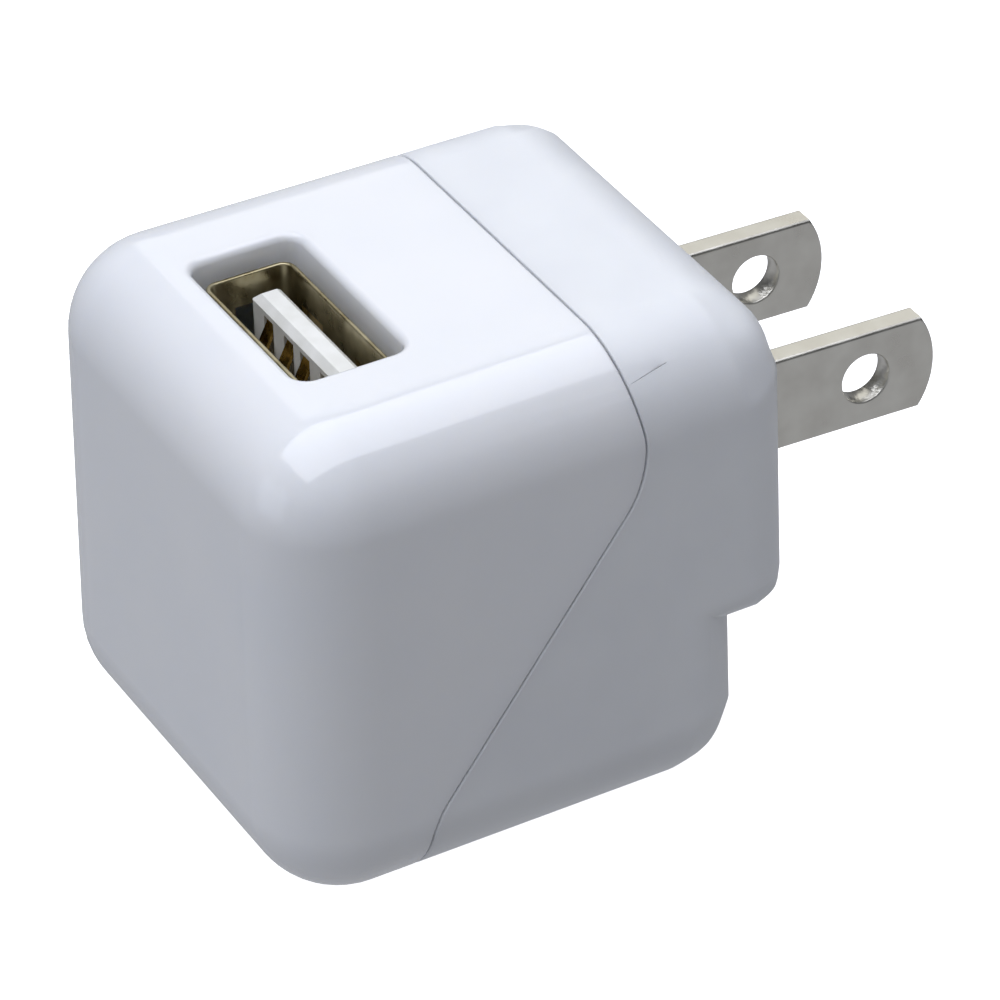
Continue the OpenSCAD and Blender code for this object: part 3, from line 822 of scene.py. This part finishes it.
class CHARGER_OT_port_contacts(bpy.types.Operator):
    """Four sprung contacts, bowed out of the tongue's grooves"""
    bl_idname = "charger.port_contacts"
    bl_label = "Port Contacts"

    def execute(self, context):
        sizes = context.scene.charger_port
        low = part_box("usb_contacts")[0]
        front, end = low.y, TONGUE_BOX[1].z
        tail_w, tail_t, tail_end = 0.6 * MM, 0.22 * MM, 9.3 * MM
        strip_t, strip_share = 0.2 * MM, 0.92
        # Contact bowed out of its groove: (into the groove, up) in mm from the end
        bow = [(0.12, -9.4), (0.12, -6.4), (0.0, -5.2), (-0.35, -3.7), (-0.52, -3.0),
               (-0.55, -2.6), (-0.4, -2.1), (0.02, -1.3), (0.2, -0.95)]
        bm = bmesh.new()
        for x in CONTACT_X:
            bent_strip(bm, x, sizes.contact_w * strip_share, [(front + y * MM, end + z * MM)
                                                       for y, z in bow], strip_t)
            cuboid(bm, (x - tail_w / 2, front + TOUCH, low.z),
                   (x + tail_w / 2, front + TOUCH + tail_t, end - tail_end))
        piece = solid("port_contact_set", bm)
        finish_edges(piece, math.radians(40))
        fit(piece, context, "usb_contacts", "contact_brass")
        return {"FINISHED"}


class CHARGER_OT_inner_finishes(bpy.types.Operator):
    """Finishes of the parts inside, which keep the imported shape"""
    bl_idname = "charger.inner_finishes"
    bl_label = "Inner Finishes"

    def execute(self, context):
        slots = {part["node"]: part["material_slot"] for part in frame["record"]["subparts"]}
        for name, piece in frame["nodes"].items():
            material = finish_for(slots[name], context.scene.charger_colours)
            for place in piece.material_slots:
                place.material = material
            if not piece.material_slots:
                raise RuntimeError(f"{name} has no material slot")
        return {"FINISHED"}


class CHARGER_OT_stage(bpy.types.Operator):
    """Pale paper floor, soft lights and the camera"""
    bl_idname = "charger.stage"
    bl_label = "Stage"

    def execute(self, context):
        scene = context.scene
        floor_z, floor_half, floor_gap = FRONT_BOX[0].z, 1.5, 0.01 * MM
        bm = bmesh.new()
        bmesh.ops.create_grid(bm, x_segments=1, y_segments=1, size=floor_half,
                              matrix=Matrix.Translation((0, 0, floor_z - floor_gap)))
        floor = solid("paper_floor", bm)
        colours = scene.charger_colours
        # Matt coated paper: even white with the faintest cloudiness
        floor.data.materials.append(surface("coated_paper", colours.floor, srgb("#f8f8fa"),
                                            (0.8, 0.9), 60, 0.5, 0.004, ior=1.45, glow=0.85))
        # The paper is a backdrop only: it throws no light back on the charger's sides
        floor.visible_diffuse = floor.visible_glossy = False
        scene.view_settings.view_transform = "Standard"

        scene.world = self.room()
        # name, place in mm, aimed-at point in mm, size in mm, brightness of its face, tint
        for name, place, aim, size, glow, tint in (
                ("overhead", (0, -120, 900), (0, -15, 0), (1000, 1300), 2.75, "#f4f7ff"),
                ("back_card", (-650, 340, 520), (0, -15, 0), (700, 500), 1.0, "#fbfaf4"),
                ("front_card", (-100, -900, 150), (0, -15, 0), (600, 500), 0.9, "#e6efff")):
            light = bpy.data.lights.new(name, "AREA")
            light.shape = "RECTANGLE"
            light.size, light.size_y = size[0] * MM, size[1] * MM
            light.energy = glow * math.pi * light.size * light.size_y
            light.color = srgb(tint)[:3]
            lamp = bpy.data.objects.new(name, light)
            scene.collection.objects.link(lamp)
            lamp.location = Vector(place) * MM
            lamp.rotation_euler = (Vector(place) - Vector(aim)).to_track_quat("Z", "Y").to_euler()

        scene.camera = self.camera(scene)
        return {"FINISHED"}

    def room(self):
        """Dim walls above the table's level, and a paler glow from below it."""
        world = bpy.data.worlds.new("studio")
        world.use_nodes = True
        tree = world.node_tree
        way = add(tree, "ShaderNodeTexCoord").outputs["Generated"]
        up = add(tree, "ShaderNodeSeparateXYZ", {"Vector": way}).outputs["Z"]
        glow = add(tree, "ShaderNodeMapRange", {"Value": up, "From Min": -0.3, "From Max": 0.2,
                                                "To Min": 0.5, "To Max": 0.1})
        back = tree.nodes["Background"]
        back.inputs["Color"].default_value = srgb("#f3f5fb")
        tree.links.new(glow.outputs["Result"], back.inputs["Strength"])
        return world

    def camera(self, scene):
        """Long lens from above the port's right-hand corner, turned a little on its axis."""
        around, above, roll = math.radians(62.37), math.radians(34.25), math.radians(-2.03)
        aim, distance = Vector((1.56, -12.27, -4.56)) * MM, 384.6 * MM
        focal, sensor = 236.9, 36
        back = Vector((math.sin(around) * math.cos(above), -math.cos(around) * math.cos(above),
                       math.sin(above)))
        level = Vector((math.cos(around), math.sin(around), 0))
        upright = back.cross(level)
        right = level * math.cos(roll) + upright * math.sin(roll)
        up = back.cross(right)
        lens = bpy.data.cameras.new("camera")
        lens.lens, lens.sensor_width = focal, sensor
        lens.clip_start, lens.clip_end = 0.01, 20
        camera = bpy.data.objects.new("camera", lens)
        scene.collection.objects.link(camera)
        turn = Matrix((right, up, back)).transposed().to_4x4()
        camera.matrix_world = Matrix.Translation(aim + back * distance) @ turn
        return camera


STEPS = (CHARGER_OT_front_shell, CHARGER_OT_rear_cap, CHARGER_OT_blades,
         CHARGER_OT_port_shell, CHARGER_OT_port_tongue, CHARGER_OT_port_contacts,
         CHARGER_OT_inner_finishes, CHARGER_OT_stage)
GROUPS = {"charger_housing": ChargerHousing, "charger_blades": ChargerBlades,
          "charger_port": ChargerPort, "charger_colours": ChargerColours}


class CHARGER_PT_panel(bpy.types.Panel):
    """Sizes, colours and building steps of the charger"""
    bl_idname = "CHARGER_PT_panel"
    bl_label = "Fold-Down Plug Charger"
    bl_space_type = "VIEW_3D"
    bl_region_type = "UI"
    bl_category = "Charger"

    def draw(self, context):
        layout = self.layout
        for holder in GROUPS:
            group = getattr(context.scene, holder)
            column = layout.box().column()
            for name in group.__annotations__:
                column.prop(group, name)
        for step in STEPS:
            layout.operator(step.bl_idname)


def register():
    for cls in (*GROUPS.values(), *STEPS, CHARGER_PT_panel):
        bpy.utils.register_class(cls)
    for holder, group in GROUPS.items():
        setattr(bpy.types.Scene, holder, PointerProperty(type=group))


def unregister():
    for holder in GROUPS:
        delattr(bpy.types.Scene, holder)
    for cls in reversed((*GROUPS.values(), *STEPS, CHARGER_PT_panel)):
        bpy.utils.unregister_class(cls)


def main():
    register()
    bpy.ops.charger.front_shell()
    bpy.ops.charger.rear_cap()
    bpy.ops.charger.blades()
    bpy.ops.charger.port_shell()
    bpy.ops.charger.port_tongue()
    bpy.ops.charger.port_contacts()
    bpy.ops.charger.inner_finishes()
    bpy.ops.charger.stage()


if __name__ == "__main__":
    main()
